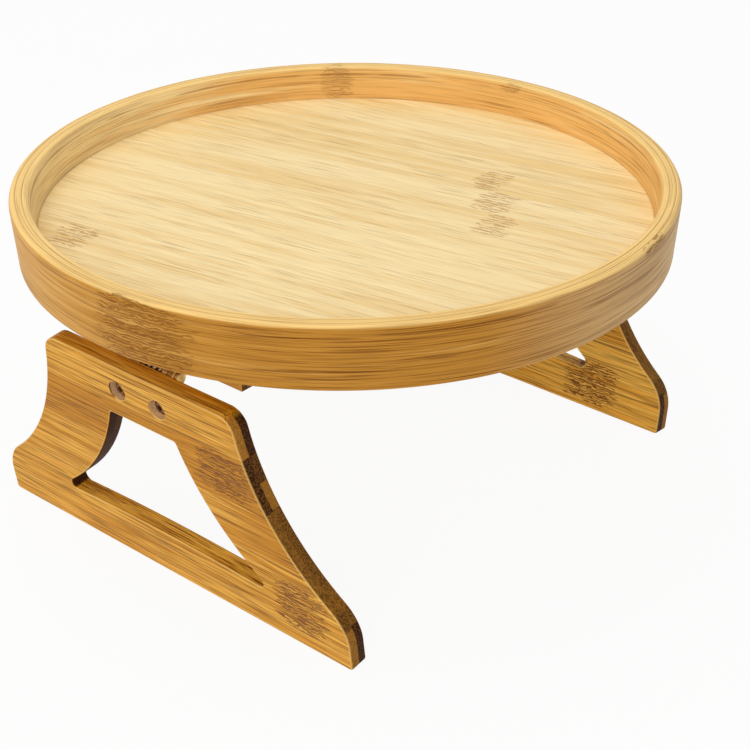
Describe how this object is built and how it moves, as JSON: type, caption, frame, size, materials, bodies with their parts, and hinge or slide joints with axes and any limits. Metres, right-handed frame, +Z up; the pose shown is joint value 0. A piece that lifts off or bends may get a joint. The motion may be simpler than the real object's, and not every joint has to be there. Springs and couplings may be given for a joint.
{
  "type": "sofa arm tray",
  "caption": "Round bamboo tray with a raised rim on two sprung, hinged bamboo wings that stand on or grip a sofa arm and fold flat under the tray.",
  "frame": {"origin": "on the ground, under the middle of the tray", "axes": "+Z up; +X across the sofa arm, from one wing to the other; +Y along the sofa arm, in the direction of the hinge axes"},
  "size_m": [0.2498, 0.2498, 0.128],
  "materials": {
    "floor_wood": "pale glued bamboo strips, thin satin lacquer",
    "rim_wood": "honey bamboo bands bent round, satin lacquer",
    "wing_wood": "honey bamboo ply with long strips, satin lacquer",
    "rail_wood": "honey bamboo block, satin lacquer",
    "hinge_steel": "brass plated steel, faintly brushed",
    "spring_steel": "drawn spring wire, bronze brown",
    "bolt_steel": "dull bronze plated steel",
    "screw_steel": "yellow zinc plated steel"
  },
  "bodies": {
    "tray": {"floor_panel": "floor_wood", "rim_outer_band": "rim_wood", "rim_middle_band": "rim_wood", "rim_inner_band": "rim_wood", "rim_foot_band": "rim_wood", "hinge_rail_right": "rail_wood", "rail_screws_right": "screw_steel", "fixed_leaf_right": "hinge_steel", "leaf_screws_right": "screw_steel", "hinge_pin_right": "hinge_steel", "torsion_spring_right": "spring_steel", "hinge_rail_left": "rail_wood", "rail_screws_left": "screw_steel", "fixed_leaf_left": "hinge_steel", "leaf_screws_left": "screw_steel", "hinge_pin_left": "hinge_steel", "torsion_spring_left": "spring_steel"},
    "right_wing": {"moving_leaf_right": "hinge_steel", "wing_outer_ply_right": "wing_wood", "wing_inner_ply_right": "wing_wood", "wing_bolts_right": "bolt_steel", "wing_nuts_right": "bolt_steel"},
    "left_wing": {"moving_leaf_left": "hinge_steel", "wing_outer_ply_left": "wing_wood", "wing_inner_ply_left": "wing_wood", "wing_bolts_left": "bolt_steel", "wing_nuts_left": "bolt_steel"}
  },
  "joints": [
    {"name": "right_wing_hinge", "type": "hinge", "parent": "tray", "child": "right_wing", "pos_m": [0.10115, 0, 0.08655], "axis": [0, -1, 0], "range_deg": [-83.3, 35], "stiffness_Nm_per_rad": 1.5, "deforming": ["torsion_spring_right"]},
    {"name": "left_wing_hinge", "type": "hinge", "parent": "tray", "child": "left_wing", "pos_m": [-0.10115, 0, 0.08655], "axis": [0, 1, 0], "range_deg": [-83.3, 35], "stiffness_Nm_per_rad": 1.5, "deforming": ["torsion_spring_left"]}
  ]
}
